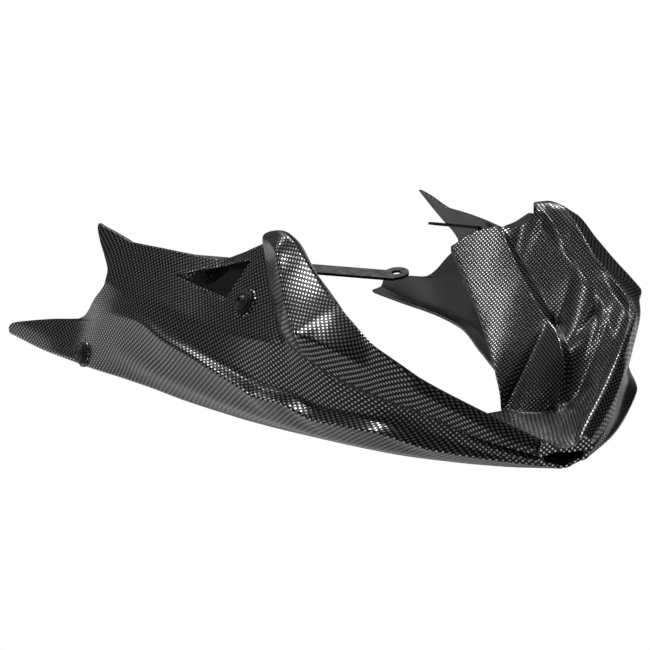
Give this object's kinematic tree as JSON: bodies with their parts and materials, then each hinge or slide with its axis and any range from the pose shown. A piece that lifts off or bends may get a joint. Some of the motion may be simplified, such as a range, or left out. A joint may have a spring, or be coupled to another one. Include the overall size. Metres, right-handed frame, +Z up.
{
  "type": "motorcycle belly pan",
  "caption": "Moulded engine belly pan with a front cover lapped over two side panels, rubber-mounted bolts and steel engine brackets.",
  "frame": {"origin": "on the ground plane, on the centre plane between the two side panels, halfway along the part", "axes": "+X forward to the nose, +Y to the rider's left, +Z up; the keels of the side panels stand on Z = 0"},
  "size_m": [0.636, 0.425, 0.1799],
  "materials": {
    "cover": "glossy patterned film over moulded plastic",
    "panels": "glossy patterned film over moulded plastic",
    "brackets": "satin black paint on steel",
    "screws": "black oxide",
    "washers": "black anodised",
    "grommets": "moulded rubber",
    "sleeves": "plated steel"
  },
  "bodies": {
    "root": {"front_cover": "cover", "left_side_panel": "panels", "left_engine_bracket": "brackets", "left_front_bolt": "screws", "left_front_cup_washer": "washers", "left_front_grommet": "grommets", "left_front_sleeve": "sleeves", "left_rear_bolt": "screws", "left_rear_cup_washer": "washers", "left_rear_grommet": "grommets", "left_rear_sleeve": "sleeves", "left_lap_rear_screw": "screws", "left_lap_rear_washer": "washers", "left_lap_front_screw": "screws", "left_lap_front_washer": "washers", "left_bracket_screw": "screws", "left_bracket_washer": "washers", "right_side_panel": "panels", "right_engine_bracket": "brackets", "right_front_bolt": "screws", "right_front_cup_washer": "washers", "right_front_grommet": "grommets", "right_front_sleeve": "sleeves", "right_rear_bolt": "screws", "right_rear_cup_washer": "washers", "right_rear_grommet": "grommets", "right_rear_sleeve": "sleeves", "right_lap_rear_screw": "screws", "right_lap_rear_washer": "washers", "right_lap_front_screw": "screws", "right_lap_front_washer": "washers", "right_bracket_screw": "screws", "right_bracket_washer": "washers"}
  },
  "joints": []
}
